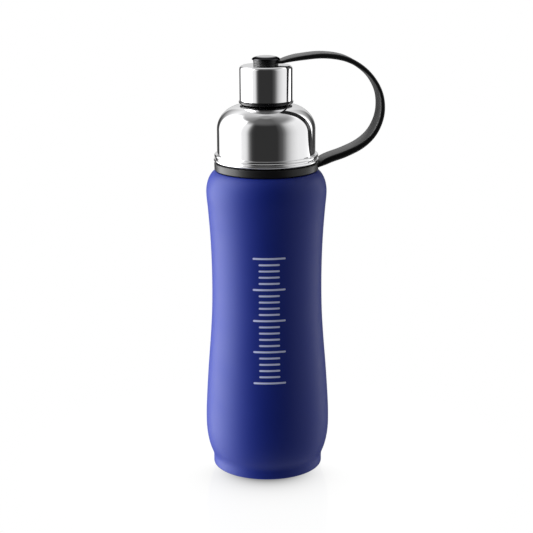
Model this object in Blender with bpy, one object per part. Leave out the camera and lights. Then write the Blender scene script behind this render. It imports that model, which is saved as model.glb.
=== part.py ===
"""Insulated steel water bottle with a screw-on dome lid, a small spout cap and a moulded carry strap.

Metres, +Z up. The origin is the centre of the base, on the bottle's axis, and the strap's loop lies
in the XZ plane towards +X. Turned parts are drawn as outlines of (radius, height) and spun about Z.
"""

import math

import bmesh
import bpy
from mathutils import Matrix, Vector

MM = 0.001
GAP = 0.3 * MM  # clearance between pieces that touch

BODY_SEGMENTS = 36
SMALL_SEGMENTS = 28

# Flask
FOOT_RADIUS = 32.35 * MM
FOOT_HEIGHT = 6.3 * MM
FOOT_CORNER = 0.6 * MM
BULGE_RADIUS = 36.54 * MM
BULGE_HEIGHT = 27.0 * MM
WAIST_RADIUS = 32.1 * MM
WAIST_HEIGHT = 111.0 * MM
SHOULDER_RADIUS = 34.82 * MM
SHOULDER_HEIGHT = 166.3 * MM
LEDGE_RADIUS = 29.2 * MM
LEDGE_HEIGHT = 178.6 * MM
SHELL_WALL = 0.7 * MM
VACUUM_GAP = 2.8 * MM
FLASK_BOTTOM = 9.0 * MM
BASE_DISC_RADIUS = 25.0 * MM
SEAL_HEIGHT = 1.5 * MM
GETTER_HEIGHT = 5.2 * MM

# Neck and its thread
NECK_BORE = 22.3 * MM
NECK_ROOT = 23.5 * MM
NECK_CREST = 24.7 * MM
NECK_FOOT = 176.4 * MM
NECK_TOP = 191.2 * MM
MAIN_PITCH = 4.0 * MM
MAIN_THREAD_LOW = 182.0 * MM
MAIN_THREAD_HIGH = 189.0 * MM

# Dome lid
LID_BORE = 25.2 * MM
LID_BORE_CREST = 24.05 * MM
LID_SKIRT_RADIUS = 27.1 * MM
LID_BOTTOM = 179.2 * MM
LID_CEILING = 193.6 * MM
DOME_RADIUS = 28.22 * MM
DOME_WALL = 0.7 * MM
FLANGE_RADIUS = 30.2 * MM
FLANGE_HEIGHT = 184.9 * MM
BEAD_RADIUS = 29.85 * MM
BEAD_HEIGHT = 187.3 * MM
CROWN_CENTRE_RADIUS = 12.3 * MM
CROWN_CENTRE_HEIGHT = 202.2 * MM
CROWN_RISE = 14.2 * MM
DOME_HOLE = 13.0 * MM

# Spout and its thread
SPOUT_BORE = 8.2 * MM
SPOUT_ROOT = 10.0 * MM
SPOUT_CREST = 11.0 * MM
SPOUT_FOOT = 217.6 * MM
SPOUT_TOP = 229.4 * MM
SPOUT_PITCH = 3.6 * MM
SPOUT_THREAD_LOW = 221.0 * MM
SPOUT_THREAD_HIGH = 227.0 * MM
COLLAR_RADIUS = 15.45 * MM

# Spout cap
CAP_RADIUS = 15.1 * MM
CAP_BOTTOM = 218.7 * MM
CAP_TOP = 238.6 * MM
CAP_FILLET = 2.0 * MM
CAP_WALL = 0.6 * MM
CAP_BORE = 11.4 * MM
CAP_BORE_CREST = 10.35 * MM
CAP_CEILING = 231.6 * MM

# Strap
STRAP_WIDTH = 16.0 * MM
STRAP_SPLIT = 17.3 * MM
RING_OUTER = 30.0 * MM
RING_INNER = 27.4 * MM
RING_BOTTOM = 178.95 * MM
RING_TOP = 183.3 * MM
GROOVE_LOW = 180.0 * MM
EYELET_RADIUS = 7.2 * MM
EYELET_BOTTOM = 239.8 * MM
EYELET_TOP = 241.5 * MM
WASHER_RADIUS = 7.1 * MM
BUTTON_RADIUS = 8.05 * MM
RIVET_SHANK = 2.4 * MM

# The strap from the eyelet to the ring, as (distance from the axis, height, thickness) in mm
STRAP_ROUTE = [
    (5.0, 240.6, 1.7), (8.6, 240.75, 1.7), (12.6, 241.75, 2.2), (19.5, 242.95, 2.6),
    (32.0, 243.9, 2.9), (44.0, 242.15, 3.0), (53.4, 237.5, 2.7), (60.5, 231.0, 2.1),
    (65.2, 222.5, 2.2), (66.5, 213.5, 2.6), (65.0, 205.3, 2.8), (60.85, 197.75, 3.1),
    (54.1, 191.9, 3.5), (45.15, 187.65, 3.8), (37.1, 184.95, 3.8), (33.4, 183.4, 3.6),
    (30.3, 181.85, 2.4), (27.8, 180.9, 2.2),
]


def clear_scene():
    for obj in list(bpy.data.objects):
        bpy.data.objects.remove(obj)


def material(name, colour, roughness, metallic=0.0):
    mat = bpy.data.materials.new(name)
    mat.use_nodes = True
    shader = mat.node_tree.nodes["Principled BSDF"]
    shader.inputs["Base Color"].default_value = (*colour, 1.0)
    shader.inputs["Roughness"].default_value = roughness
    shader.inputs["Metallic"].default_value = metallic
    mat.diffuse_color = (*colour, 1.0)
    return mat


def finish_mesh(name, bm, mat, sharp_degrees=35.0):
    """Turns a bmesh into a shaded object with its faces pointing out."""
    bmesh.ops.recalc_face_normals(bm, faces=bm.faces)
    mesh = bpy.data.meshes.new(name)
    bm.to_mesh(mesh)
    bm.free()
    mesh.shade_smooth()
    mesh.set_sharp_from_angle(angle=math.radians(sharp_degrees))
    obj = bpy.data.objects.new(name, mesh)
    bpy.context.scene.collection.objects.link(obj)
    if mat:
        mesh.materials.append(mat)
    return obj


def turned(name, outline, mat, segments=BODY_SEGMENTS):
    """Spins an outline of (radius, height) about Z. It is a loop, or it starts and ends on the axis."""
    bm = bmesh.new()
    verts = [bm.verts.new((radius, 0.0, height)) for radius, height in outline]
    for first, second in zip(verts, verts[1:]):
        bm.edges.new((first, second))
    if outline[0][0] > 0.0:
        bm.edges.new((verts[-1], verts[0]))
    bmesh.ops.spin(
        bm, geom=list(bm.verts) + list(bm.edges), cent=(0, 0, 0), axis=(0, 0, 1),
        angle=math.tau, steps=segments, use_merge=False,
    )
    bmesh.ops.remove_doubles(bm, verts=bm.verts, dist=0.005 * MM)
    return finish_mesh(name, bm, mat)


def arc(centre_radius, centre_height, radial, vertical, start, end, steps):
    """Points of an ellipse's arc, in degrees from the outward direction, turning upwards."""
    points = []
    for i in range(steps + 1):
        angle = math.radians(start + (end - start) * i / steps)
        radius = centre_radius + radial * math.cos(angle)
        points.append((radius, centre_height + vertical * math.sin(angle)))
    return points


def smooth(points, steps):
    """A Catmull-Rom curve through the points, with the given number of steps in each span."""
    padded = [points[0], *points, points[-1]]
    curve = []
    for before, start, end, after in zip(padded, padded[1:], padded[2:], padded[3:]):
        for i in range(steps):
            t = i / steps
            curve.append(tuple(
                0.5 * (2 * b + (c - a) * t + (2 * a - 5 * b + 4 * c - d) * t * t
                       + (3 * b - a - 3 * c + d) * t ** 3)
                for a, b, c, d in zip(before, start, end, after)
            ))
    curve.append(points[-1])
    return curve


def thread(name, root, crest, low, high, pitch, base_width, crest_width, segments):
    """A helical ridge from root to crest that rises one pitch a turn and fades out at both ends."""
    bm = bmesh.new()
    count = round((high - low) / pitch * segments)
    fade = segments // 6
    direction = 1.0 if crest > root else -1.0
    sunk = root - direction * 0.45 * MM
    faded = root - direction * 0.2 * MM
    rings = []
    for i in range(count + 1):
        angle = math.tau * i / segments
        middle = low + pitch * i / segments
        rise = min(1.0, i / fade, (count - i) / fade)
        top = faded + (crest - faded) * rise
        ring = []
        for radius, offset in ((sunk, -base_width / 2), (top, -crest_width / 2),
                               (top, crest_width / 2), (sunk, base_width / 2)):
            ring.append(bm.verts.new(
                (radius * math.cos(angle), radius * math.sin(angle), middle + offset)
            ))
        rings.append(ring)
    for first, second in zip(rings, rings[1:]):
        for k in range(4):
            bm.faces.new((first[k], first[(k + 1) % 4], second[(k + 1) % 4], second[k]))
    bm.faces.new(rings[0])
    bm.faces.new(rings[-1])
    return finish_mesh(name, bm, None)


def combine(obj, other):
    """Joins another solid to an object and leaves the other as a hidden guide."""
    modifier = obj.modifiers.new(other.name, "BOOLEAN")
    modifier.operation = "UNION"
    modifier.solver = "EXACT"
    modifier.object = other
    other.hide_render = True
    other.display_type = "WIRE"
    return obj


def body_side():
    """The outer shell's side from the crease above the foot up to the shoulder's top edge."""
    lower_axis = 9.0 * MM
    lower_rise = 24.0 * MM
    crease = -math.degrees(math.asin((BULGE_HEIGHT - FOOT_HEIGHT - GAP) / lower_rise))
    side = arc(BULGE_RADIUS - lower_axis, BULGE_HEIGHT, lower_axis, lower_rise, crease, 0.0, 5)
    waist = smooth([
        (BULGE_RADIUS, BULGE_HEIGHT), (36.3 * MM, 38.0 * MM), (35.0 * MM, 58.7 * MM),
        (33.4 * MM, 78.6 * MM), (32.4 * MM, 95.0 * MM), (WAIST_RADIUS, WAIST_HEIGHT),
        (32.3 * MM, 127.0 * MM), (32.95 * MM, 142.0 * MM), (34.0 * MM, 156.0 * MM),
        (SHOULDER_RADIUS, SHOULDER_HEIGHT),
    ], 1)
    upper_axis = 7.8 * MM
    upper_rise = 12.9 * MM
    centre = SHOULDER_RADIUS - upper_axis
    edge = math.degrees(math.acos((LEDGE_RADIUS - centre) / upper_axis))
    shoulder = arc(centre, SHOULDER_HEIGHT, upper_axis, upper_rise, 0.0, edge, 5)
    return side + waist[1:] + shoulder[1:]


def inward(side, distance):
    """The same side moved towards the axis."""
    return [(radius - distance, height) for radius, height in side]


def make_outer_shell(mat):
    side = body_side()
    neck_hole = NECK_ROOT + GAP
    inside = [point for point in inward(side, SHELL_WALL)[::2] if point[1] < LEDGE_HEIGHT - 4 * MM]
    inside_edge = (LEDGE_RADIUS - 2.2 * MM, LEDGE_HEIGHT - SHELL_WALL)
    outline = [*side, (neck_hole, LEDGE_HEIGHT), (neck_hole, LEDGE_HEIGHT - SHELL_WALL), inside_edge]
    return turned("outer_shell", outline + inside[::-1], mat)


def make_foot_cup(mat):
    """The stepped foot: a pressed cup whose floor carries the evacuation hole."""
    wall = 0.8 * MM
    floor = 1.9 * MM
    hole = 1.9 * MM
    corner = arc(FOOT_RADIUS - FOOT_CORNER, FOOT_CORNER, FOOT_CORNER, FOOT_CORNER, -90.0, 0.0, 2)
    rim = BASE_DISC_RADIUS + GAP
    outline = [
        (rim, 0.0), *corner, (FOOT_RADIUS, FOOT_HEIGHT), (FOOT_RADIUS - wall, FOOT_HEIGHT),
        (FOOT_RADIUS - wall, floor + wall), (hole, floor + wall), (hole, floor), (rim, floor),
    ]
    return turned("foot_cup", outline, mat)


def make_base_disc(mat):
    thickness = 1.0 * MM
    edge = 0.2 * MM
    outline = [
        (0.0, 0.0), (BASE_DISC_RADIUS - edge, 0.0), (BASE_DISC_RADIUS, edge),
        (BASE_DISC_RADIUS, thickness), (0.0, thickness),
    ]
    return turned("base_disc", outline, mat)


def make_vacuum_seal(mat):
    """The plug that closes the evacuation hole in the foot cup's floor."""
    radius = 1.5 * MM
    side_top = SEAL_HEIGHT + 1.4 * MM
    outline = [(0.0, SEAL_HEIGHT), (radius, SEAL_HEIGHT), (radius, side_top), (0.0, side_top + 0.4 * MM)]
    return turned("vacuum_seal", outline, mat, SMALL_SEGMENTS)


def make_getter(mat):
    """A puck in the vacuum space that soaks up the last gas. It is spot welded to the inner bottom."""
    radius = 5.0 * MM
    top = GETTER_HEIGHT + 1.4 * MM
    outline = [(0.0, GETTER_HEIGHT), (radius, GETTER_HEIGHT), (radius, top), (0.0, top)]
    return turned("getter_capsule", outline, mat, SMALL_SEGMENTS)


def make_inner_flask(mat):
    """The inner wall, its shoulder and the neck, which carries the main thread outside."""
    wall = 0.7 * MM
    offset = SHELL_WALL + VACUUM_GAP
    low, high = FLASK_BOTTOM + 1.0 * MM, SHOULDER_HEIGHT + 1.7 * MM
    side = [point for point in inward(body_side(), offset)[::2] if low < point[1] < high]
    bottom = (side[0][0] - 0.5 * MM, FLASK_BOTTOM)
    shoulder = [(30.6 * MM, NECK_FOOT - 6.4 * MM), (27.6 * MM, NECK_FOOT - 1.8 * MM)]
    root = (NECK_ROOT, NECK_FOOT)
    lip = 0.4 * MM
    neck = [(NECK_ROOT, NECK_TOP - lip), (NECK_ROOT - lip, NECK_TOP), (NECK_BORE, NECK_TOP)]
    outer = [bottom, *side, *shoulder, root, *neck]
    bore_foot = (NECK_BORE, NECK_FOOT - 1.0 * MM)
    inner = [bore_foot, *inward(shoulder[::-1], wall), *inward(side[::-1], wall)]
    last = (bottom[0] - wall, FLASK_BOTTOM)
    flask = turned("inner_flask", outer + inner + [last], mat)
    ridge = thread(
        "neck_thread_ridge", NECK_ROOT, NECK_CREST, MAIN_THREAD_LOW, MAIN_THREAD_HIGH, MAIN_PITCH,
        2.2 * MM, 0.9 * MM, BODY_SEGMENTS,
    )
    return combine(flask, ridge)


def make_inner_bottom(mat):
    """The dished disc welded into the inner flask's lower end."""
    radius = body_side()[0][0] - SHELL_WALL - VACUUM_GAP - 1.4 * MM
    wall = 0.8 * MM
    low = FLASK_BOTTOM - 1.4 * MM
    dish = 0.4 * MM
    corner = 0.6 * MM
    rim_top = low + 1.1 * MM
    flat = radius * 0.6
    outline = [
        (0.0, low + dish), (flat, low), (radius - corner, low), (radius, low + corner),
        (radius, rim_top), (radius - corner, rim_top), (flat, low + wall), (0.0, low + dish + wall),
    ]
    return turned("inner_bottom", outline, mat)


def dome_side(inset):
    """The dome's wall and crown, moved in by inset, from the wall's foot to the top hole."""
    radial = DOME_RADIUS - CROWN_CENTRE_RADIUS - inset
    rise = CROWN_RISE - inset
    hole_angle = math.degrees(math.acos((DOME_HOLE - CROWN_CENTRE_RADIUS) / radial))
    return arc(CROWN_CENTRE_RADIUS, CROWN_CENTRE_HEIGHT, radial, rise, 0.0, hole_angle, 6)


def make_lid_shell(mat):
    """The polished dome, with a rolled lip and a bead round its foot and a hole for the spout."""
    roll = 0.8 * MM
    lip = arc(FLANGE_RADIUS - roll, FLANGE_HEIGHT, roll, roll, -80.0, 75.0, 4)
    bead = arc(BEAD_RADIUS - roll, BEAD_HEIGHT, roll, 1.0 * MM, -60.0, 75.0, 4)
    outer = [*lip, *bead, (DOME_RADIUS, BEAD_HEIGHT + 1.8 * MM)]
    inside_foot = [(DOME_RADIUS - DOME_WALL, lip[0][1])]
    inner = dome_side(DOME_WALL)[::-1]
    return turned("lid_shell", outer + dome_side(0.0) + inner + inside_foot, mat)


def make_lid_liner(mat):
    """The moulded liner: a skirt with the female thread, a shoulder under the dome, and the spout."""
    inset = DOME_WALL + GAP
    crown = [point for point in dome_side(inset) if point[0] > 14.0 * MM]
    collar_seat = 12.5 * MM
    bead = LID_SKIRT_RADIUS + 0.6 * MM
    lip = 0.5 * MM
    outer = [
        (LID_BORE, LID_BOTTOM), (LID_SKIRT_RADIUS, LID_BOTTOM),
        (LID_SKIRT_RADIUS, GROOVE_LOW), (bead, GROOVE_LOW + 0.8 * MM),
        (LID_SKIRT_RADIUS, GROOVE_LOW + 1.6 * MM), *crown,
        (collar_seat, CROWN_CENTRE_HEIGHT + CROWN_RISE - inset - 0.1 * MM),
        (collar_seat, SPOUT_FOOT), (SPOUT_ROOT, SPOUT_FOOT),
        (SPOUT_ROOT, SPOUT_TOP - lip), (SPOUT_ROOT - lip, SPOUT_TOP), (SPOUT_BORE, SPOUT_TOP),
    ]
    inner = [
        (SPOUT_BORE, 213.5 * MM), (11.0 * MM, 212.4 * MM), (17.0 * MM, 209.5 * MM),
        (20.4 * MM, 204.5 * MM), (21.0 * MM, 199.0 * MM), (21.0 * MM, LID_CEILING),
        (LID_BORE, LID_CEILING),
    ]
    liner = turned("lid_liner", outer + inner, mat)
    ridge = thread(
        "lid_thread_ridge", LID_BORE, LID_BORE_CREST, MAIN_THREAD_LOW, MAIN_THREAD_HIGH, MAIN_PITCH,
        1.4 * MM, 0.6 * MM, BODY_SEGMENTS,
    )
    ridge.location.z = MAIN_PITCH / 2
    spout_ridge = thread(
        "spout_thread_ridge", SPOUT_ROOT, SPOUT_CREST, SPOUT_THREAD_LOW, SPOUT_THREAD_HIGH,
        SPOUT_PITCH, 1.8 * MM, 0.7 * MM, SMALL_SEGMENTS,
    )
    combine(liner, ridge)
    return combine(liner, spout_ridge)


def make_lid_gasket(mat):
    edge = 0.3 * MM
    low = NECK_TOP + GAP
    high = LID_CEILING - GAP
    inside = 21.5 * MM
    outside = LID_BORE - GAP
    outline = [
        (inside, low + edge), (inside + edge, low), (outside - edge, low), (outside, low + edge),
        (outside, high - edge), (outside - edge, high), (inside + edge, high), (inside, high - edge),
    ]
    return turned("lid_gasket", outline, mat)


def make_spout_collar(mat):
    """The ring that clamps the dome down round the spout's foot, with a rounded underside."""
    inside = 12.8 * MM
    seat = CROWN_CENTRE_HEIGHT + CROWN_RISE + GAP
    top = CAP_BOTTOM - GAP
    side_low = top - 0.25 * MM
    underside = arc(13.5 * MM, side_low, COLLAR_RADIUS - 13.5 * MM, 1.4 * MM, -75.0, 0.0, 3)
    outline = [(inside, seat), *underside, (COLLAR_RADIUS - 0.2 * MM, top), (inside, top)]
    return turned("spout_collar", outline, mat, SMALL_SEGMENTS)


def make_cap_shell(mat):
    """The small polished cap, with a hole in its top for the rivet."""
    hole = RIVET_SHANK + GAP
    inside = CAP_RADIUS - CAP_WALL
    corner = arc(CAP_RADIUS - CAP_FILLET, CAP_TOP - CAP_FILLET, CAP_FILLET, CAP_FILLET, 0.0, 90.0, 4)
    inner_fillet = CAP_FILLET - CAP_WALL
    inner_corner = arc(
        inside - inner_fillet, CAP_TOP - CAP_FILLET, inner_fillet, inner_fillet, 0.0, 90.0, 2
    )
    outline = [
        (inside, CAP_BOTTOM), (CAP_RADIUS - 0.2 * MM, CAP_BOTTOM),
        (CAP_RADIUS, CAP_BOTTOM + 0.2 * MM), *corner, (hole, CAP_TOP),
        (hole, CAP_TOP - CAP_WALL), *inner_corner[::-1],
    ]
    return turned("spout_cap_shell", outline, mat, SMALL_SEGMENTS)


def make_cap_liner(mat):
    """The cap's moulded liner: female thread below, and an open chamber for the rivet's tail above."""
    outside = CAP_RADIUS - CAP_WALL - GAP
    top = CAP_TOP - CAP_WALL - GAP
    chamber = 11.6 * MM
    chamber_floor = CAP_CEILING + 1.8 * MM
    chamfer = 1.6 * MM
    outline = [
        (0.0, CAP_CEILING), (CAP_BORE, CAP_CEILING), (CAP_BORE, CAP_BOTTOM),
        (outside, CAP_BOTTOM), (outside, top - chamfer),
        (outside - chamfer, top), (chamber, top), (chamber, chamber_floor), (0.0, chamber_floor),
    ]
    liner = turned("spout_cap_liner", outline, mat, SMALL_SEGMENTS)
    ridge = thread(
        "cap_thread_ridge", CAP_BORE, CAP_BORE_CREST, SPOUT_THREAD_LOW, SPOUT_THREAD_HIGH,
        SPOUT_PITCH, 1.2 * MM, 0.5 * MM, SMALL_SEGMENTS,
    )
    ridge.location.z = SPOUT_PITCH / 2
    return combine(liner, ridge)


def make_cap_gasket(mat):
    edge = 0.2 * MM
    low = SPOUT_TOP + GAP
    high = CAP_CEILING - GAP
    inside = 7.2 * MM
    outside = 11.0 * MM
    outline = [
        (inside, low), (outside - edge, low), (outside, low + edge), (outside, high - edge),
        (outside - edge, high), (inside, high),
    ]
    return turned("spout_cap_gasket", outline, mat, SMALL_SEGMENTS)


def make_strap_washer(mat):
    """The spacer between the cap's top and the strap's eyelet."""
    low = CAP_TOP + GAP
    high = EYELET_BOTTOM - GAP
    hole = RIVET_SHANK + GAP
    outline = [(hole, low), (WASHER_RADIUS, low), (WASHER_RADIUS, high), (hole, high)]
    return turned("strap_washer", outline, mat, SMALL_SEGMENTS)


def make_rivet_button(mat):
    """The domed button and its shank, with the tail that is peened over the backing washer."""
    head_low = EYELET_TOP + GAP
    rim = 0.35 * MM
    dome_rise = 2.15 * MM
    tail_top = CAP_TOP - CAP_WALL - 1.6 * MM
    tail_low = tail_top - 1.0 * MM
    tail_radius = 3.6 * MM
    dome = arc(0.0, head_low + rim, BUTTON_RADIUS, dome_rise, 0.0, 90.0, 5)
    outline = [
        (0.0, tail_low), (tail_radius - 0.4 * MM, tail_low), (tail_radius, tail_low + 0.4 * MM),
        (tail_radius, tail_top), (RIVET_SHANK, tail_top), (RIVET_SHANK, head_low),
        (BUTTON_RADIUS, head_low), *dome[:-1], (0.0, dome[-1][1]),
    ]
    return turned("rivet_button", outline, mat, SMALL_SEGMENTS)


def make_rivet_washer(mat):
    """The backing washer inside the cap, under its steel top."""
    high = CAP_TOP - CAP_WALL - GAP
    low = high - 1.0 * MM
    hole = RIVET_SHANK + GAP
    outside = 5.2 * MM
    outline = [(hole, low), (outside, low), (outside, high), (hole, high)]
    return turned("rivet_washer", outline, mat, SMALL_SEGMENTS)


def strap_line(steps=3):
    """The strap's middle line as (position, direction, thickness) in the XZ plane."""
    route = smooth([tuple(value * MM for value in stop) for stop in STRAP_ROUTE], steps)
    line = []
    for i, (x, z, thickness) in enumerate(route):
        before = route[max(i - 1, 0)]
        after = route[min(i + 1, len(route) - 1)]
        direction = Vector((after[0] - before[0], 0.0, after[1] - before[1])).normalized()
        line.append((Vector((x, 0.0, z)), direction, thickness))
    return line


def band(name, line, width, mat):
    """A flat band that follows the line, as an outline in the XZ plane extruded along Y."""
    bm = bmesh.new()
    upper = []
    lower = []
    for centre, direction, thickness in line:
        normal = Vector((-direction.z, 0.0, direction.x))
        start = centre - Vector((0.0, width / 2, 0.0))
        upper.append(bm.verts.new(start + normal * thickness / 2))
        lower.append(bm.verts.new(start - normal * thickness / 2))
    for i in range(len(line) - 1):
        bm.faces.new((upper[i], upper[i + 1], lower[i + 1], lower[i]))
    sheet = bmesh.ops.extrude_face_region(bm, geom=list(bm.faces))
    moved = [item for item in sheet["geom"] if isinstance(item, bmesh.types.BMVert)]
    bmesh.ops.translate(bm, verts=moved, vec=(0.0, width, 0.0))
    return finish_mesh(name, bm, mat)


def make_carry_strap(mat):
    """The band of the handle and the ring that sits under the dome's flange, as one moulding."""
    groove = RING_INNER + 0.6 * MM
    edge = 0.4 * MM
    ring = turned("carry_strap", [
        (RING_INNER, RING_BOTTOM), (RING_OUTER - edge, RING_BOTTOM),
        (RING_OUTER, RING_BOTTOM + edge), (RING_OUTER, RING_TOP - edge),
        (RING_OUTER - edge, RING_TOP), (RING_INNER, RING_TOP),
        (RING_INNER, GROOVE_LOW + 1.6 * MM), (groove, GROOVE_LOW + 0.8 * MM),
        (RING_INNER, GROOVE_LOW),
    ], mat)
    split = STRAP_SPLIT + GAP
    start = next(i for i, part in enumerate(strap_line()) if part[0].x > split + 1 * MM)
    line = strap_line()[start:]
    centre, direction, thickness = line[0]
    first = centre - direction * ((centre.x - split) / direction.x)
    upright_end = (first, Vector((1.0, 0.0, 0.0)), thickness / direction.x)
    loop = band("strap_band", [upright_end, *line], STRAP_WIDTH, None)
    return combine(ring, loop)


def make_strap_eyelet(mat):
    """The strap's other end: a round eyelet with the tab that reaches past the cap's edge."""
    hole = RIVET_SHANK + GAP
    eyelet = turned("strap_eyelet", [
        (hole, EYELET_BOTTOM), (EYELET_RADIUS, EYELET_BOTTOM), (EYELET_RADIUS, EYELET_TOP),
        (hole, EYELET_TOP),
    ], mat, SMALL_SEGMENTS)
    line = [part for part in strap_line() if part[0].x < STRAP_SPLIT - 0.5 * MM]
    centre, direction, thickness = line[-1]
    last = centre + direction * ((STRAP_SPLIT - centre.x) / direction.x)
    level = Vector((1.0, 0.0, 0.0))
    line = [*line, (last, level, thickness / direction.x)]
    inner_end = line[0][0]
    line[0] = (inner_end, level, EYELET_TOP - EYELET_BOTTOM - 0.1 * MM)
    tab = band("strap_tab", line, STRAP_WIDTH, None)
    outline = bmesh.new()
    outline.from_mesh(tab.data)
    for vert in outline.verts:
        reach = min(1.0, max(0.0, (vert.co.x - inner_end.x) / (STRAP_SPLIT - inner_end.x)))
        half = (EYELET_RADIUS * 0.68) * (1.0 - reach) + STRAP_WIDTH / 2 * reach
        vert.co.y = math.copysign(half, vert.co.y)
    outline.to_mesh(tab.data)
    outline.free()
    return combine(eyelet, tab)


def turning_axis(name, height, pieces, parent=None):
    """An empty on the bottle's axis, with the pieces that move together parented to it."""
    empty = bpy.data.objects.new(name, None)
    empty.empty_display_size = 20 * MM
    empty["height"] = height
    empty.location.z = height - (parent["height"] if parent else 0.0)
    empty.parent = parent
    bpy.context.scene.collection.objects.link(empty)
    for piece in pieces:
        piece.parent = empty
        piece.matrix_parent_inverse = Matrix.Translation((0.0, 0.0, -height))
    return empty


def main():
    clear_scene()
    blue = material("powder_coat", (0.045, 0.062, 0.30), 0.48)
    steel = material("brushed_steel", (0.60, 0.60, 0.61), 0.35, 1.0)
    polished = material("polished_steel", (0.72, 0.72, 0.73), 0.06, 1.0)
    liner = material("liner_plastic", (0.018, 0.018, 0.019), 0.45)
    strap = material("strap_plastic", (0.014, 0.014, 0.015), 0.40)
    silicone = material("silicone", (0.78, 0.78, 0.76), 0.55)
    glass_bead = material("seal_glass", (0.12, 0.16, 0.14), 0.25)

    make_outer_shell(blue)
    make_foot_cup(blue)
    make_base_disc(steel)
    make_vacuum_seal(glass_bead)
    make_getter(steel)
    make_inner_flask(steel)
    make_inner_bottom(steel)

    gasket = make_lid_gasket(silicone)
    lid = [make_lid_shell(polished), make_lid_liner(liner), make_spout_collar(liner)]
    lid.append(make_carry_strap(strap))
    eyelet = [make_strap_eyelet(strap)]
    cap = [make_cap_shell(polished), make_cap_liner(liner), make_cap_gasket(silicone)]
    cap += [make_strap_washer(liner), make_rivet_button(polished), make_rivet_washer(steel)]

    seal_axis = turning_axis("lid_lift_axis", NECK_TOP, [gasket])
    lid_axis = turning_axis("lid_turn_axis", NECK_TOP, lid, seal_axis)
    eyelet_axis = turning_axis("spout_cap_lift_axis", CAP_TOP, eyelet, lid_axis)
    turning_axis("spout_cap_turn_axis", CAP_TOP, cap, eyelet_axis)


main()
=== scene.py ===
"""Looks of the insulated water bottle: a fine mesh and a material for each visible piece, and a
plain studio.

Outlines are lists of (distance from the axis, height, corner radius) in millimetres, spun about Z.
"""

import math

import bmesh
import bpy
from mathutils import Matrix, Vector


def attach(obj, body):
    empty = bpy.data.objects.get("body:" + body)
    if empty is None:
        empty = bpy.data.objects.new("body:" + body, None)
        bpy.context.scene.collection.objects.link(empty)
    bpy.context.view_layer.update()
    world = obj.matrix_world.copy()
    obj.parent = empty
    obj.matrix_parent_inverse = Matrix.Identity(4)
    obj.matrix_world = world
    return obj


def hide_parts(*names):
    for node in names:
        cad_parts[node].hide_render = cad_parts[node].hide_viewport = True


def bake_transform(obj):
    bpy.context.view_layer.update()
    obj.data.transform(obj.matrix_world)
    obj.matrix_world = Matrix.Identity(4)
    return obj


MM = 0.001
TINY = 1e-6
SEGMENTS = 192
CORNER_STEP = 15.0  # degrees a rounded corner turns in each of its steps
STRAIGHT = math.radians(176.0)  # a corner flatter than this is left as it is
SHARP = math.radians(32.0)  # an edge that turns more than this is shaded sharp
THREAD_STEP = 0.2  # mm between the rings of a threaded wall
THREAD_FADE = 6.0  # a thread's ends rise over one turn divided by this
CAMERA_TURN = math.radians(8.0)  # the camera stands this far to the left of -Y

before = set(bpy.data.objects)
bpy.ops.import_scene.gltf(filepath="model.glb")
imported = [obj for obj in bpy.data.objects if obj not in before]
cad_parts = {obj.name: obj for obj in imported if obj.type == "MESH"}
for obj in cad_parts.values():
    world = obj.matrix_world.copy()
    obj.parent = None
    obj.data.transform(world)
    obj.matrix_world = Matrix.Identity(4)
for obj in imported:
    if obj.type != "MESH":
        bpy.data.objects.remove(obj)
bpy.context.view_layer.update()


# ---------------------------------------------------------------- outlines

def arc(centre, radii, start, end, steps):
    """Points of an ellipse's arc, in degrees from the outward direction, turning upwards."""
    points = []
    for i in range(steps + 1):
        angle = math.radians(start + (end - start) * i / steps)
        points.append((
            centre[0] + radii[0] * math.cos(angle), centre[1] + radii[1] * math.sin(angle), 0.0
        ))
    return points


def smooth(points, steps, first=None, last=None):
    """A Catmull-Rom curve through the points, which seems to come from first and go on to last."""
    padded = [first or points[0], *points, last or points[-1]]
    curve = []
    for before, start, end, after in zip(padded, padded[1:], padded[2:], padded[3:]):
        for i in range(steps):
            t = i / steps
            curve.append(tuple(
                0.5 * (2 * b + (c - a) * t + (2 * a - 5 * b + 4 * c - d) * t * t
                       + (3 * b - a - 3 * c + d) * t ** 3)
                for a, b, c, d in zip(before, start, end, after)
            ))
    curve.append(tuple(points[-1]))
    return curve


def blend_curve(start, start_pull, end, end_pull, steps):
    """Points between start and end of a cubic curve that leaves and arrives along the pulls."""
    first, last = Vector(start), Vector(end)
    one, two = first + Vector(start_pull), last - Vector(end_pull)
    points = []
    for i in range(1, steps):
        t = i / steps
        s = 1 - t
        p = first * s ** 3 + one * 3 * t * s ** 2 + two * 3 * t * t * s + last * t ** 3
        points.append((p.x, p.y, 0.0))
    return points


def rounded(corners, step=CORNER_STEP):
    """The closed outline of the corners (x, y, radius), with each corner rounded to its radius."""
    loop = []
    for i, (x, y, radius) in enumerate(corners):
        here = Vector((x, y))
        back = Vector(corners[i - 1][:2]) - here
        on = Vector(corners[(i + 1) % len(corners)][:2]) - here
        plain = radius <= 0.0 or back.length < TINY or on.length < TINY
        if plain or back.angle(on) > STRAIGHT:
            loop.append((x, y))
            continue
        opening = back.angle(on)
        reach = min(radius / math.tan(opening / 2), 0.49 * back.length, 0.49 * on.length)
        radius = reach * math.tan(opening / 2)
        back.normalize()
        on.normalize()
        centre = here + (back + on).normalized() * radius / math.sin(opening / 2)
        start = here + back * reach - centre
        turn = start.angle_signed(here + on * reach - centre)
        steps = max(2, math.ceil(abs(math.degrees(turn)) / step - 0.01))
        for k in range(steps + 1):
            spoke = start.copy()
            spoke.rotate(Matrix.Rotation(-turn * k / steps, 2))
            loop.append(tuple(centre + spoke))
    return loop


def inward(points, distance):
    """The points moved towards the axis, with no corner radius."""
    return [(p[0] - distance, p[1], 0.0) for p in points]


def flat(points):
    """The same points with no corner radius."""
    return inward(points, 0.0)


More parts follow.
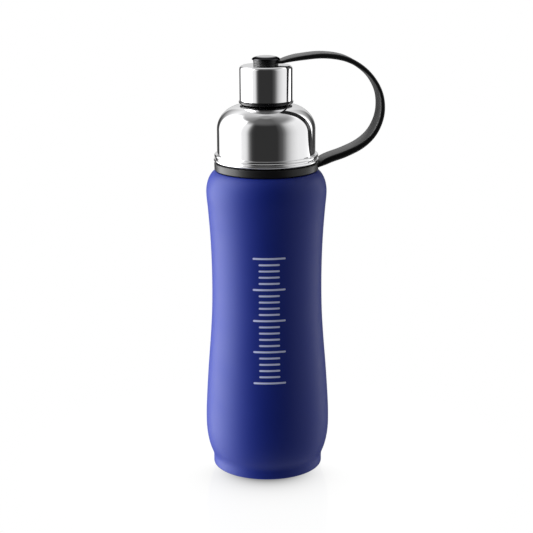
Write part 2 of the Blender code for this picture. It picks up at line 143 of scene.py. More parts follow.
def run(radius, low, high):
    """Closely spaced points up or down a straight wall, for a thread to rise from."""
    count = math.ceil(abs(high - low) / THREAD_STEP)
    return [(radius, low + (high - low) * i / count, 0.0) for i in range(count + 1)]


# ---------------------------------------------------------------- meshes

def ridge(angle, height, low, high, pitch, base, crest):
    """How far up its full height, 0 to 1, a helical ridge stands at an angle and a height."""
    turns = (high - low) / pitch
    best = 0.0
    for k in range(math.ceil(turns) + 1):
        turn = angle / math.tau + k
        if turn > turns:
            break
        away = abs(height - low - pitch * turn)
        side = min(1.0, max(0.0, (base / 2 - away) / (base / 2 - crest / 2)))
        fade = min(1.0, turn * THREAD_FADE, (turns - turn) * THREAD_FADE)
        best = max(best, side * max(0.0, fade))
    return best


def spun(bm, loop, segments=SEGMENTS, threads=()):
    """Adds the outline spun about Z. A thread is (wall radius, crest radius, ridge settings)."""
    rings = []
    for radius, height in loop:
        if radius < TINY:
            rings.append([bm.verts.new((0.0, 0.0, height * MM))] * segments)
            continue
        ring = []
        for i in range(segments):
            angle = math.tau * i / segments
            out = radius
            for wall, top, settings in threads:
                if abs(radius - wall) < 0.01:
                    out += (top - wall) * ridge(angle, height, *settings)
            ring.append(bm.verts.new((
                out * MM * math.cos(angle), out * MM * math.sin(angle), height * MM
            )))
        rings.append(ring)
    pairs = list(zip(rings, rings[1:]))
    if loop[0][0] > TINY:
        pairs.append((rings[-1], rings[0]))
    for first, second in pairs:
        for i in range(segments):
            j = (i + 1) % segments
            corners = []
            for vert in (first[i], first[j], second[j], second[i]):
                if vert not in corners:
                    corners.append(vert)
            if len(corners) > 2:
                bm.faces.new(corners)


def add_object(name, bm, mat):
    """A new object with the mesh drawn in bm."""
    mesh = bpy.data.meshes.new(name)
    bm.to_mesh(mesh)
    bm.free()
    mesh.shade_smooth()
    mesh.set_sharp_from_angle(angle=SHARP)
    mesh.materials.append(mat)
    obj = bpy.data.objects.new(name, mesh)
    bpy.context.scene.collection.objects.link(obj)
    return obj


def solid(name, mat, fill):
    """A closed object that fill(bm) draws."""
    bm = bmesh.new()
    fill(bm)
    bmesh.ops.recalc_face_normals(bm, faces=bm.faces)
    return add_object(name, bm, mat)


def turned(name, mat, corners, threads=()):
    """A turned piece from its closed outline of corners."""
    return solid(name, mat, lambda bm: spun(bm, rounded(corners), threads=threads))


def place(obj, body, slot, *nodes):
    """Says what a piece rides on and which CAD nodes it stands for; the slot is not used."""
    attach(obj, body)
    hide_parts(*nodes)


# ---------------------------------------------------------------- material nodes

class Graph:
    """Short calls for making and joining shader nodes."""

    def __init__(self, tree):
        self.tree = tree
        tree.nodes.clear()

    def node(self, kind, inputs=(), **settings):
        made = self.tree.nodes.new(kind)
        for key, value in settings.items():
            setattr(made, key, value)
        for key, value in dict(inputs).items():
            self.feed(made.inputs[key], value)
        return made

    def feed(self, socket, value):
        if isinstance(value, bpy.types.NodeSocket):
            self.tree.links.new(value, socket)
        else:
            socket.default_value = value

    def math(self, operation, *values):
        return self.node("ShaderNodeMath", enumerate(values), operation=operation).outputs[0]

    def dot(self, x, y, along_x, along_y):
        """How far (x, y) reaches along a direction."""
        return self.math(
            "ADD", self.math("MULTIPLY", x, along_x), self.math("MULTIPLY", y, along_y)
        )

    def length(self, x, y):
        return self.math("SQRT", self.dot(x, y, x, y))

    def fade(self, value, share):
        """The value less a share of itself."""
        return self.math("MULTIPLY", value, self.math("SUBTRACT", 1.0, share))

    def between(self, share, first, second):
        """The number a share of the way from first to second."""
        return self.math("ADD", self.fade(first, share), self.math("MULTIPLY", second, share))

    def remap(self, value, low, high, to_low, to_high, kind="LINEAR"):
        return self.node("ShaderNodeMapRange", {
            0: value, 1: low, 2: high, 3: to_low, 4: to_high,
        }, interpolation_type=kind).outputs[0]

    def ease(self, value, low, high, to_low, to_high):
        return self.remap(value, low, high, to_low, to_high, "SMOOTHSTEP")

    def noise(self, vector, scale, detail, rough=0.5):
        return self.node("ShaderNodeTexNoise", {
            "Vector": vector, "Scale": scale, "Detail": detail, "Roughness": rough,
        }).outputs[0]

    def mix(self, factor, first, second):
        """A colour between first and second."""
        made = self.node("ShaderNodeMix", data_type="RGBA")
        for i, value in ((0, factor), (6, first), (7, second)):
            self.feed(made.inputs[i], value)
        return made.outputs[2]

    def axes(self):
        """Object position and its x, y and z."""
        position = self.node("ShaderNodeTexCoord").outputs["Object"]
        parts = self.node("ShaderNodeSeparateXYZ", {0: position}).outputs
        return position, parts[0], parts[1], parts[2]

    def turning_lines(self, x, y, z, stretch, scale, detail, rough):
        """Noise drawn out round the axis, like the marks of turning or brushing."""
        along = self.math("MULTIPLY", self.math("ARCTAN2", y, x), stretch)
        lines = self.node("ShaderNodeCombineXYZ", {0: along, 1: self.length(x, y), 2: z})
        return self.noise(lines.outputs[0], scale, detail, rough)

    def surface(self, principled, base, rough, height, depth):
        """Joins colour, roughness and a bump of the given depth in millimetres to the shader."""
        self.feed(principled.inputs["Base Color"], base)
        self.feed(principled.inputs["Roughness"], rough)
        bump = self.node("ShaderNodeBump", {
            "Height": height, "Distance": depth * MM, "Strength": 1.0,
        })
        self.feed(principled.inputs["Normal"], bump.outputs[0])


def colour(red, green, blue):
    return (red, green, blue, 1.0)


def shader(name, shown, **inputs):
    """A new material: its graph and its Principled shader with the given sockets."""
    mat = bpy.data.materials.new(name)
    mat.use_nodes = True
    mat.diffuse_color = colour(*shown)
    graph = Graph(mat.node_tree)
    principled = graph.node("ShaderNodeBsdfPrincipled")
    output = graph.node("ShaderNodeOutputMaterial")
    graph.tree.links.new(principled.outputs[0], output.inputs[0])
    for key, value in inputs.items():
        principled.inputs[key.replace("_", " ")].default_value = value
    return mat, graph, principled


# ---------------------------------------------------------------- materials

PRINT_ANGLE = math.radians(-95.5)
PRINT_LOW = 60.5 * MM
PRINT_STEP = 3.65 * MM
PRINT_COUNT = 21
PRINT_GROUP = 5.0  # every fifth bar is longer
PRINT_HALF_LENGTH, PRINT_EXTRA = 5.5 * MM, 3.4 * MM
PRINT_HALF_STROKE, PRINT_EDGE = 0.55 * MM, 0.06 * MM
PRINT_COLOUR = colour(0.56, 0.60, 0.83)

COAT_DARK, COAT_LIGHT = colour(0.0058, 0.0170, 0.198), colour(0.0065, 0.0190, 0.218)
COAT_GRAIN, COAT_SHINE = colour(0.013, 0.027, 0.25), colour(0.68, 0.76, 1.0)

PAINTED_RIM_WIDTH = 2.2 * MM  # the button's painted dark reflection round its rim fades in over this distance
# Painted dark reflection on the button's rim: its steel colour and its lowered shine
PAINTED_RIM_STEEL, PAINTED_RIM_SHINE = colour(0.05, 0.05, 0.052), colour(0.10, 0.10, 0.10)


def print_mask(graph, x, y, z):
    """A column of plain rounded bars up the bottle's front, every fifth one longer."""
    cos, sin = math.cos(PRINT_ANGLE), math.sin(PRINT_ANGLE)
    out = graph.dot(x, y, cos, sin)
    across = graph.dot(x, y, -sin, cos)
    along = graph.math("MULTIPLY", graph.math("ARCTAN2", across, out), graph.length(x, y))
    place_up = graph.math("DIVIDE", graph.math("SUBTRACT", z, PRINT_LOW), PRINT_STEP)
    index = graph.math("ROUND", place_up)
    rise = graph.math("MULTIPLY", graph.math("SUBTRACT", place_up, index), PRINT_STEP)
    longer = graph.math("COMPARE", graph.math("WRAP", index, PRINT_GROUP, 0.0), 0.0, 0.1)
    half = graph.math("ADD", graph.math("MULTIPLY", longer, PRINT_EXTRA), PRINT_HALF_LENGTH)
    past = graph.math("MAXIMUM", graph.math("SUBTRACT", graph.math("ABSOLUTE", along), half), 0.0)
    bar = graph.remap(
        graph.length(past, rise),
        PRINT_HALF_STROKE - PRINT_EDGE, PRINT_HALF_STROKE + PRINT_EDGE, 1.0, 0.0,
    )
    above = graph.math("GREATER_THAN", index, -0.5)
    below = graph.math("LESS_THAN", index, PRINT_COUNT - 0.5)
    return graph.math("MULTIPLY", bar, graph.math("MULTIPLY", above, below))


def powder_coat():
    """Satin powder coat: fine orange peel, slight cloudiness, and the pale print."""
    mat, graph, principled = shader(
        "powder_coat", (0.05, 0.07, 0.35), IOR=1.5, Specular_IOR_Level=0.35,
        Specular_Tint=COAT_SHINE,
    )
    position, x, y, z = graph.axes()
    cloud = graph.noise(position, 60.0, 2.0)
    grain = graph.noise(position, 2600.0, 2.0, 0.6)
    peel = graph.noise(position, 900.0, 2.0)
    mask = print_mask(graph, x, y, z)

    base = graph.mix(cloud, COAT_DARK, COAT_LIGHT)
    base = graph.mix(graph.remap(grain, 0.35, 0.75, 0.0, 0.12), base, COAT_GRAIN)
    base = graph.mix(mask, base, PRINT_COLOUR)
    rough = graph.remap(cloud, 0.3, 0.7, 0.47, 0.51)
    rough = graph.math("SUBTRACT", rough, graph.math("MULTIPLY", mask, 0.06))
    height = graph.math("ADD", graph.math("MULTIPLY", grain, 0.35), peel)
    height = graph.math("ADD", height, graph.math("MULTIPLY", mask, 0.6))
    graph.surface(principled, base, rough, height, 0.016)
    return mat


def polished_steel(name, painted_dark_rim_from=None):
    """Mirror-polished steel with faint polishing lines; given a radius, half darkened inside it and
    with a painted dark reflection beyond it.
    """
    mat, graph, principled = shader(name, (0.8, 0.8, 0.8), Metallic=1.0)
    position, x, y, z = graph.axes()
    line = graph.turning_lines(x, y, z, 0.002, 5200.0, 2.0, 0.6)
    smudge = graph.noise(position, 70.0, 3.0)
    tint = graph.mix(smudge, colour(0.83, 0.83, 0.84), colour(0.88, 0.88, 0.885))
    if painted_dark_rim_from:
        # Painted dark reflection round the rim: beyond the radius the steel and its shine go dark
        edge = graph.ease(graph.length(x, y), painted_dark_rim_from, painted_dark_rim_from + PAINTED_RIM_WIDTH, 0.0, 1.0)
        centre = graph.mix(0.5, tint, colour(0.40, 0.40, 0.41))
        tint = graph.mix(edge, centre, PAINTED_RIM_STEEL)
        painted_rim_glance = graph.mix(edge, colour(1.0, 1.0, 1.0), PAINTED_RIM_SHINE)
        graph.feed(principled.inputs["Specular Tint"], painted_rim_glance)
    rough = graph.remap(smudge, 0.3, 0.7, 0.035, 0.065)
    graph.surface(principled, tint, rough, line, 0.0006)
    return mat


def brushed_steel():
    """Stainless steel turned or brushed round the axis."""
    mat, graph, principled = shader("brushed_steel", (0.7, 0.7, 0.7), Metallic=1.0)
    position, x, y, z = graph.axes()
    line = graph.turning_lines(x, y, z, 0.004, 3200.0, 3.0, 0.65)
    cloud = graph.noise(position, 45.0, 2.0)
    tint = graph.mix(line, colour(0.50, 0.50, 0.51), colour(0.68, 0.68, 0.69))
    rough = graph.remap(line, 0.3, 0.7, 0.24, 0.36)
    rough = graph.math("ADD", rough, graph.math("MULTIPLY", cloud, 0.05))
    graph.surface(principled, tint, rough, line, 0.004)
    return mat


def moulded(name, dark, light, rough, grain_scale, grain_depth, **inputs):
    """Moulded plastic or rubber with a fine grain and slightly uneven gloss."""
    mat, graph, principled = shader(name, dark, **inputs)
    position, _, _, _ = graph.axes()
    cloud = graph.noise(position, 90.0, 3.0)
    grain = graph.noise(position, grain_scale, 2.0, 0.6)
    tint = graph.mix(cloud, colour(*dark), colour(*light))
    graph.surface(principled, tint, graph.remap(cloud, 0.3, 0.7, *rough), grain, grain_depth)
    return mat


coat = powder_coat()
polished = polished_steel("polished_steel")
# The button's rim gets a painted dark reflection
button_steel = polished_steel("button_steel", 4.6 * MM)
brushed = brushed_steel()
liner = moulded(
    "liner_plastic", (0.010, 0.010, 0.011), (0.014, 0.014, 0.015), (0.34, 0.42), 1700.0, 0.004,
)
gloss_black = moulded(
    "collar_plastic", (0.005, 0.005, 0.006), (0.007, 0.007, 0.008), (0.10, 0.15), 1200.0, 0.0012,
    Specular_IOR_Level=0.3,
)
strap_rubber = moulded(
    "strap_elastomer", (0.0055, 0.0055, 0.006), (0.008, 0.008, 0.0085), (0.30, 0.36), 1500.0, 0.004,
    Specular_IOR_Level=0.35,
)
silicone = moulded(
    "silicone", (0.66, 0.66, 0.63), (0.74, 0.74, 0.71), (0.42, 0.52), 1500.0, 0.006,
    Subsurface_Weight=0.2, Subsurface_Scale=0.002,
)
resin = moulded(
    "seal_resin", (0.09, 0.12, 0.10), (0.13, 0.17, 0.14), (0.18, 0.28), 900.0, 0.006,
)


# ---------------------------------------------------------------- flask

WALL = 0.7  # thickness of the steel walls
INNER_INSET = 3.5  # the inner flask's outside lies this far inside the shell's
FOOT_RADIUS, FOOT_HEIGHT, GAP = 32.35, 6.3, 0.3
FOOT_EDGE = 4.4  # the foot's wall is straight up to here
BULGE, SHOULDER, LEDGE = (36.54, 27.0), (34.82, 166.3), (29.2, 178.6)
NECK, NECK_BORE, NECK_TOP = 23.5, 22.3, 191.2


def body_side():
    """The outer shell's side from the crease above the foot up to the shoulder's top edge."""
    axes = (9.0, 24.0)
    crease = -math.degrees(math.asin((BULGE[1] - FOOT_HEIGHT - GAP) / axes[1]))
    side = arc((BULGE[0] - axes[0], BULGE[1]), axes, crease, 0.0, 28)
    knots = [
        BULGE, (36.3, 38.0), (35.0, 58.7), (33.4, 78.6), (32.4, 95.0), (32.1, 111.0),
        (32.3, 127.0), (32.95, 142.0), (34.0, 156.0), SHOULDER,
    ]
    before = (knots[1][0], 2 * BULGE[1] - knots[1][1])
    after = (knots[-2][0], 2 * SHOULDER[1] - knots[-2][1])
    waist = smooth(knots, 8, before, after)
    axes = (7.8, 12.9)
    centre = SHOULDER[0] - axes[0]
    edge = math.degrees(math.acos((LEDGE[0] - centre) / axes[0]))
    shoulder = arc((centre, SHOULDER[1]), axes, 0.0, edge, 28)
    return flat(side) + flat(waist[1:]) + flat(shoulder[1:])


SIDE = body_side()
above = [p for p in SIDE if p[1] > 9.5]
inside = inward([p for p in SIDE[::2] if p[1] < LEDGE[1] - 2.0], WALL)
flow = blend_curve((FOOT_RADIUS, FOOT_EDGE), (0.0, 1.9), above[0][:2], (0.75, 1.85), 12)
shell = turned("bottle_shell", coat, [
    (25.3, 0.0, 0.3), (FOOT_RADIUS, 0.0, 0.9), (FOOT_RADIUS, FOOT_EDGE, 0.0), *flow, *above[:-1],
    (LEDGE[0], LEDGE[1] - 0.15, 0.4), (23.8, LEDGE[1], 0.15), (23.8, 177.9, 0.0),
    (27.0, 177.9, 0.0), *inside[::-1], (FOOT_RADIUS - 0.8, FOOT_HEIGHT, 0.0),
    (FOOT_RADIUS - 0.8, 2.7, 0.8), (1.9, 2.7, 0.0), (1.9, 1.9, 0.0), (25.3, 1.9, 0.0),
])
place(shell, "bottle", "powder_coat", "outer_shell", "foot_cup")

base_disc = turned("base_disc_fine", brushed, [
    (0.0, 0.0, 0.0), (14.0, 0.0, 0.0), (24.2, 0.0, 0.0), (25.0, 0.25, 0.3),
    (25.0, 1.0, 0.0), (0.0, 1.0, 0.0),
])
place(base_disc, "bottle", "brushed_steel", "base_disc")

# A thread is its wall's and crest's radius, then low, high, pitch and its widths at wall and crest
neck_thread = (NECK, 24.7, (182.0, 189.0, 4.0, 2.2, 0.9))
flask_side = [p for p in inward(SIDE, INNER_INSET)[::2] if 10.0 < p[1] < 168.0]
bottom = (flask_side[0][0] - 0.5, 9.0, 0.0)
shoulder = flat(smooth([(31.2, 168.0), (30.6, 170.0), (27.6, 174.6), (24.4, 176.2)], 5))
inner_flask = turned("inner_flask_fine", brushed, [
    bottom, *flask_side, *shoulder, (NECK, 176.6, 0.3), *run(NECK, 180.4, 190.4),
    (NECK, NECK_TOP, 0.5), (NECK_BORE, NECK_TOP, 0.3), (NECK_BORE, 175.4, 0.8),
    *inward(shoulder[::-1], WALL), *inward(flask_side[::-1], WALL), (bottom[0] - WALL, 9.0, 0.0),
], [neck_thread])
place(inner_flask, "bottle", "brushed_steel", "inner_flask")

dish = SIDE[0][0] - INNER_INSET - 2 * WALL
inner_bottom = turned("inner_bottom_fine", brushed, [
    (0.0, 8.0, 0.0), (dish * 0.6, 7.6, 2.0), (dish, 7.6, 0.6), (dish, 8.7, 0.4),
    (dish - 0.6, 8.7, 0.0), (dish * 0.6, 8.4, 2.0), (0.0, 8.8, 0.0),
])
place(inner_bottom, "bottle", "brushed_steel", "inner_bottom")


# ---------------------------------------------------------------- dome lid

DOME, CROWN, CROWN_RISE = 28.22, (12.3, 202.2), 14.2
MOUTH = 13.0  # radius of the hole in the crown


def dome_side(inset):
    """The crown's curve from the dome's wall up to the hole, moved inwards by inset."""
    radial = DOME - CROWN[0] - inset
    hole = math.degrees(math.acos((MOUTH - CROWN[0]) / radial))
    return arc(CROWN, (radial, CROWN_RISE - inset), 0.0, hole, 44)


lip = arc((29.4, 184.9), (0.8, 0.8), -80.0, 100.0, 16)
bead = arc((29.05, 187.3), (0.8, 1.0), -100.0, 118.0, 20)
lid_shell = turned("lid_shell_fine", polished, [
    (28.6, 184.1, 0.0), *lip, *bead, (DOME, 188.05, 0.0), (DOME, 195.0, 0.0),
    *dome_side(0.0), *dome_side(WALL)[::-1], (DOME - WALL, 184.4, 0.0),
])
place(lid_shell, "lid", "polished_steel", "lid_shell")

LINER_WALL, SPOUT, SPOUT_BORE = 25.2, 10.0, 8.2
lid_thread = (LINER_WALL, 24.05, (184.0, 191.0, 4.0, 1.4, 0.6))
spout_thread = (SPOUT, 11.0, (221.0, 227.0, 3.6, 1.8, 0.7))
crown = [p for p in dome_side(1.0) if p[0] > 14.0]
lid_liner = turned("lid_liner_fine", liner, [
    (LINER_WALL, 179.2, 0.4), (27.1, 179.2, 0.4), (27.1, 180.0, 0.0), (27.7, 180.8, 0.3),
    (27.1, 181.6, 0.2), *crown, (12.5, 215.3, 0.0), (12.5, 217.6, 0.2), (SPOUT, 217.6, 0.3),
    *run(SPOUT, 219.6, 228.6), (SPOUT, 229.4, 0.5), (SPOUT_BORE, 229.4, 0.5),
    (SPOUT_BORE, 213.5, 0.5), (11.0, 212.4, 0.8), (17.0, 209.5, 1.5), (20.4, 204.5, 2.0),
    (21.0, 199.0, 1.5), (21.0, 193.6, 0.3), (LINER_WALL, 193.6, 0.3),
    *run(LINER_WALL, 192.4, 182.6),
], [lid_thread, spout_thread])
place(lid_liner, "lid", "liner_plastic", "lid_liner")

lid_gasket = turned("lid_gasket_fine", silicone, [
    (21.5, 191.5, 0.4), (24.9, 191.5, 0.4), (24.9, 193.3, 0.4), (21.5, 193.3, 0.4),
])
place(lid_gasket, "lid_seal", "silicone", "lid_gasket")

collar = turned("spout_collar_fine", gloss_black, [
    (12.8, 216.7, 0.1), (13.5, 216.5, 0.0), *arc((13.5, 218.1), (2.1, 1.65), -84.0, 0.0, 14),
    (15.5, 218.4, 0.2), (12.8, 218.4, 0.2),
])
place(collar, "lid", "liner_plastic", "spout_collar")


# ---------------------------------------------------------------- spout cap

CAP, CAP_LOW, CAP_TOP, CAP_WALL = 15.1, 218.7, 238.6, 0.6
RIVET_HOLE = 2.7
cap_shell = turned("spout_cap_shell_fine", polished, [
    (CAP - CAP_WALL, CAP_LOW, 0.12), (CAP, CAP_LOW, 0.28), (CAP, 228.0, 0.0), (CAP, CAP_TOP, 2.0),
    (RIVET_HOLE, CAP_TOP, 0.0), (RIVET_HOLE, CAP_TOP - CAP_WALL, 0.0),
    (CAP - CAP_WALL, CAP_TOP - CAP_WALL, 1.4),
])
place(cap_shell, "spout_cap", "polished_steel", "spout_cap_shell")

CAP_BORE = 11.4
cap_thread = (CAP_BORE, 10.35, (222.8, 228.8, 3.6, 1.2, 0.5))
cap_liner = turned("spout_cap_liner_fine", liner, [
    (0.0, 231.6, 0.0), (CAP_BORE, 231.6, 0.3), *run(CAP_BORE, 230.6, 221.4),
    (CAP_BORE, 218.7, 0.5), (14.3, 218.7, 0.2), (14.3, 237.3, 1.6), (11.6, 237.3, 0.3),
    (11.6, 233.4, 0.3), (0.0, 233.4, 0.0),
], [cap_thread])
place(cap_liner, "spout_cap", "liner_plastic", "spout_cap_liner")

cap_gasket = turned("spout_cap_gasket_fine", silicone, [
    (7.2, 229.7, 0.3), (11.0, 229.7, 0.4), (11.0, 231.3, 0.4), (7.2, 231.3, 0.3),
])
place(cap_gasket, "spout_cap", "silicone", "spout_cap_gasket")

washer = turned("strap_washer_fine", liner, [
    (RIVET_HOLE, 238.66, 0.1), (7.1, 238.66, 0.2), (7.1, 239.72, 0.2), (RIVET_HOLE, 239.72, 0.1),
])
place(washer, "spout_cap", "liner_plastic", "strap_washer")

button = turned("rivet_button_fine", button_steel, [
    (0.0, 235.0, 0.0), (3.6, 235.0, 0.4), (3.6, 236.0, 0.2), (2.4, 236.0, 0.0),
    (2.4, 241.8, 0.0), (8.0, 241.8, 0.05), *arc((0.0, 241.95), (8.05, 2.2), 4.0, 90.0, 30),
])
place(button, "spout_cap", "polished_steel", "rivet_button")


# ---------------------------------------------------------------- strap

# (distance from the axis, height, thickness) along the band's middle line
STRAP_ROUTE = [
    (5.0, 240.6, 1.7), (8.6, 240.75, 1.7), (12.6, 241.75, 2.2), (19.5, 242.95, 2.6),
    (32.0, 243.9, 2.9), (44.0, 242.15, 3.0), (53.4, 237.5, 2.7), (60.5, 231.0, 2.1),
    (65.2, 222.5, 2.2), (66.5, 213.5, 2.6), (65.0, 205.3, 2.8), (60.85, 197.75, 3.1),
    (54.1, 191.9, 3.5), (45.15, 187.65, 3.8), (37.1, 184.95, 3.8), (33.4, 183.4, 3.6),
    (30.3, 181.85, 2.4), (27.8, 180.9, 2.2),
]
STRAP_HALF_WIDTH, EYELET_HALF_WIDTH = 8.0, 4.9
WIDENS_FROM, WIDENS_OVER = 5.0, 12.3  # distances from the axis
EDGE_SHARE = 0.36  # radius of the band's edges, as a share of its thickness


def strap_band(bm):
    """The strap's band: a rounded rectangle swept along the route, narrower near the eyelet."""
    route = smooth(STRAP_ROUTE, 9)
    rings = []
    for i, (x, z, thickness) in enumerate(route):
        before, after = route[max(i - 1, 0)], route[min(i + 1, len(route) - 1)]
        ahead = Vector((after[0] - before[0], after[1] - before[1])).normalized()
        reach = min(1.0, (x - WIDENS_FROM) / WIDENS_OVER)
        half = EYELET_HALF_WIDTH + (STRAP_HALF_WIDTH - EYELET_HALF_WIDTH) * reach
        edge = EDGE_SHARE * thickness
        section = rounded([
            (-half, -thickness / 2, edge), (half, -thickness / 2, edge),
            (half, thickness / 2, edge), (-half, thickness / 2, edge),
        ], 22.5)
        rings.append([
            bm.verts.new(((x - ahead.y * up) * MM, across * MM, (z + ahead.x * up) * MM))
            for across, up in section
        ])
    for first, second in zip(rings, rings[1:]):
        for k in range(len(first)):
            j = (k + 1) % len(first)
            bm.faces.new((first[k], first[j], second[j], second[k]))
    bm.faces.new(rings[0])
    bm.faces.new(rings[-1])


ring_outline = rounded([
    (27.4, 178.95, 0.3), (29.9, 178.95, 0.6), (30.0, 183.3, 0.6), (27.4, 183.3, 0.2),
    (27.4, 181.6, 0.0), (28.0, 180.8, 0.2), (27.4, 180.0, 0.0),
])
eyelet_outline = rounded([
    (RIVET_HOLE, 239.8, 0.2), (7.2, 239.8, 0.3), (7.2, 241.78, 0.3), (RIVET_HOLE, 241.78, 0.2),
])
strap = solid("carry_strap_fine", strap_rubber, lambda bm: spun(bm, ring_outline))
extras = (
    solid("strap_band", strap_rubber, strap_band),
    solid("strap_eye", strap_rubber, lambda bm: spun(bm, eyelet_outline, 96)),
)
for extra in extras:
    joint = strap.modifiers.new(extra.name, "BOOLEAN")
    joint.operation, joint.solver, joint.object = "UNION", "EXACT", extra
bpy.context.view_layer.update()
evaluated = strap.evaluated_get(bpy.context.evaluated_depsgraph_get())
joined = bpy.data.meshes.new_from_object(evaluated)
strap.modifiers.clear()
strap.data = joined
joined.set_sharp_from_angle(angle=SHARP)
for extra in extras:
    bpy.data.objects.remove(extra)
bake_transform(strap)
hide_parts("carry_strap", "strap_eyelet")

# Pieces hidden inside keep their CAD meshes
for node, mat in (("vacuum_seal", resin), ("getter_capsule", brushed), ("rivet_washer", brushed)):
    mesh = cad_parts[node].data
    mesh.materials.clear()
    mesh.materials.append(mat)


# ---------------------------------------------------------------- studio

# Brightness by direction, in degrees clockwise from the camera as seen from above
PANELS = [
    (-180, 0.9), (-130, 1.4), (-124, 6.4), (-70, 6.4), (-63, 1.2), (-57, 0.97), (-50, 0.93),
    (-45, 0.72), (-41, 0.34), (-37, 0.12), (-32, 0.045), (-26, 0.033), (26, 0.033), (38, 0.10),
    (45, 0.24), (50, 0.42), (55, 0.56), (62, 0.72), (70, 0.84), (80, 0.95), (100, 1.0),
    (114, 1.1), (120, 2.0), (138, 2.0), (144, 0.9), (180, 0.9),
]
CEILING = [
    (-180, 0.72), (-160, 0.75), (-130, 0.62), (-110, 0.52), (-90, 0.36), (-62, 0.25),
    (-45, 0.14), (30, 0.12), (50, 0.18), (70, 0.24), (90, 0.30), (110, 0.42), (130, 0.55),
    (150, 0.60), (180, 0.72),
]
# How black the flags behind the panels are, 0 to 1
FLAGS = [
    (-180, 0.2), (-166, 0.3), (-162, 0.95), (-145, 0.95), (-140, 0.0), (133, 0.0), (137, 0.95),
    (158, 0.95), (163, 0.3), (180, 0.2),
]
PEAK = 10.0  # the ramps hold the levels divided by this
HORIZON_SHADE = 0.75  # how much the low part behind the bottle is darkened
LOW_LEVEL = 0.35  # the share of their level that the panels keep low down
TABLE_LEVEL, ZENITH_LEVEL = 0.75, 0.32  # straight down and straight up

MIRROR_FROM, MIRROR_TO = 0.045, 0.16  # the floor's mirror fades between these distances
SHADE_DEPTH, SHADE_REACH = 0.68, 9.0 * MM

CAMERA_DISTANCE, CAMERA_HEIGHT = 0.82, 0.332
CAMERA_PITCH, CAMERA_ROLL = math.radians(14.44), math.radians(0.25)


def make_floor():
    """A white glossy sheet, with a faint mirror near the bottle and a soft shade in front of it."""
    bm = bmesh.new()
    bmesh.ops.create_circle(bm, cap_ends=True, segments=128, radius=0.9)
    mat, graph, principled = shader(
        "floor", (0.9, 0.9, 0.9), Roughness=0.12, IOR=1.13,
        Base_Color=colour(0.0, 0.0, 0.0), Emission_Color=colour(1.0, 1.0, 1.0),
    )
    _, x, y, _ = graph.axes()
    radius = graph.length(x, y)
    near = graph.ease(radius, MIRROR_FROM, MIRROR_TO, 1.0, 0.0)
    ahead = graph.dot(x, y, -math.sin(CAMERA_TURN), -math.cos(CAMERA_TURN))
    facing = graph.math("MAXIMUM", graph.math("DIVIDE", ahead, radius), 0.0)
    past = graph.math("SUBTRACT", radius, FOOT_RADIUS * MM)
    fall = graph.math("EXPONENT", graph.math("DIVIDE", past, -SHADE_REACH))
    shade = graph.math("MULTIPLY", graph.math("POWER", facing, 2.0), fall)
    shade = graph.math("MULTIPLY", graph.math("MINIMUM", shade, 1.0), SHADE_DEPTH)
    glow = graph.math("SUBTRACT", 1.0, graph.math("MULTIPLY", near, 0.02))
    graph.feed(principled.inputs["Emission Strength"], graph.fade(glow, shade))
    graph.feed(principled.inputs["Specular IOR Level"], graph.math("MULTIPLY", near, 0.5))
    floor = add_object("floor", bm, mat)
    floor.location.z = -0.2 * MM
    floor.visible_glossy = floor.visible_diffuse = floor.visible_shadow = False


def by_direction(graph, share, levels):
    """A level that changes with the direction round the object."""
    ramp = graph.node("ShaderNodeValToRGB", {0: share})
    elements = ramp.color_ramp.elements
    for i, (degrees, level) in enumerate(levels):
        position = (degrees + 180) / 360
        element = elements[i] if i < 2 else elements.new(position)
        element.position = position
        element.color = colour(*[level / PEAK] * 3)
    return graph.math("MULTIPLY", ramp.outputs[0], PEAK)


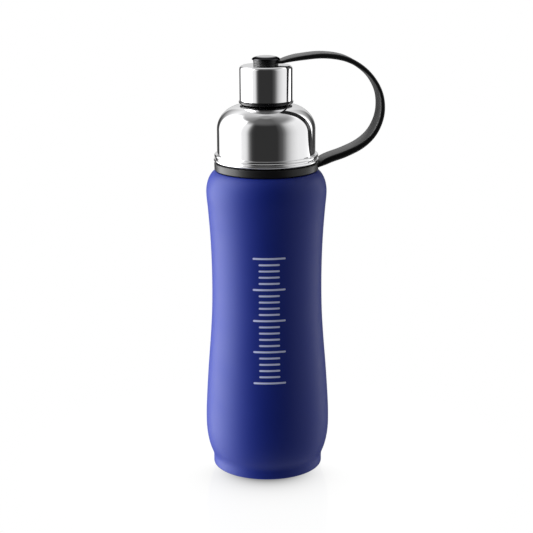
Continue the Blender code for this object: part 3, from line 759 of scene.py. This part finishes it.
def make_world():
    """Tall soft panels left and right, black flags behind them, and a ceiling dim in front."""
    world = bpy.data.worlds.new("studio")
    bpy.context.scene.world = world
    world.use_nodes = True
    graph = Graph(world.node_tree)
    direction = graph.node("ShaderNodeTexCoord").outputs["Generated"]
    x, y, z = graph.node("ShaderNodeSeparateXYZ", {0: direction}).outputs[:]
    cos, sin = math.cos(CAMERA_TURN), math.sin(CAMERA_TURN)
    front = graph.dot(x, y, -sin, -cos)
    turn = graph.math("ARCTAN2", graph.dot(x, y, cos, -sin), front)
    share = graph.remap(turn, -math.pi, math.pi, 0.0, 1.0)
    panels = by_direction(graph, share, PANELS)
    ceiling = by_direction(graph, share, CEILING)
    flags = by_direction(graph, share, FLAGS)

    level = graph.between(graph.ease(z, 0.64, 0.87, 0.0, 1.0), panels, ceiling)
    level = graph.fade(level, graph.math("MULTIPLY", flags, graph.ease(z, 0.0, 0.9, 1.0, 0.0)))
    behind = graph.ease(front, -0.97, -0.90, 1.0, 0.0)
    below = graph.ease(z, -0.06, 0.04, HORIZON_SHADE, 0.0)
    level = graph.fade(level, graph.math("MULTIPLY", behind, below))
    level = graph.math("MULTIPLY", level, graph.ease(z, -0.62, -0.28, LOW_LEVEL, 1.0))
    level = graph.between(graph.ease(z, -0.82, -0.64, 1.0, 0.0), level, TABLE_LEVEL)
    level = graph.between(graph.ease(z, 0.975, 0.998, 0.0, 1.0), level, ZENITH_LEVEL)
    lit = graph.node("ShaderNodeBackground", {0: level, 1: 1.0})
    plain = graph.node("ShaderNodeBackground", {0: colour(1.0, 1.0, 1.0), 1: 1.0})
    seen = graph.node("ShaderNodeLightPath").outputs["Is Camera Ray"]
    mixed = graph.node("ShaderNodeMixShader", {0: seen, 1: lit.outputs[0], 2: plain.outputs[0]})
    graph.node("ShaderNodeOutputWorld", {0: mixed.outputs[0]})


def make_camera():
    """The camera stands in front and a little to the left, and looks down at the bottle's axis."""
    cos, sin = math.cos(CAMERA_TURN), math.sin(CAMERA_TURN)
    level = math.cos(CAMERA_PITCH)
    ahead = Vector((sin * level, cos * level, -math.sin(CAMERA_PITCH)))
    right = Vector((cos, -sin, 0.0))
    up = right.cross(ahead)
    rolled_right = right * math.cos(CAMERA_ROLL) - up * math.sin(CAMERA_ROLL)
    rolled_up = up * math.cos(CAMERA_ROLL) + right * math.sin(CAMERA_ROLL)
    data = bpy.data.cameras.new("camera")
    data.lens, data.sensor_width, data.shift_x = 97.5, 36.0, -0.0005
    data.clip_start, data.clip_end = 0.05, 20.0
    camera = bpy.data.objects.new("camera", data)
    spot = (-CAMERA_DISTANCE * sin, -CAMERA_DISTANCE * cos, CAMERA_HEIGHT)
    turn = Matrix((rolled_right, rolled_up, -ahead)).transposed()
    camera.matrix_world = Matrix.Translation(spot) @ turn.to_4x4()
    bpy.context.scene.collection.objects.link(camera)
    bpy.context.scene.camera = camera


make_floor()
make_world()
make_camera()
bpy.context.scene.view_settings.view_transform = "Standard"

bpy.context.view_layer.update()
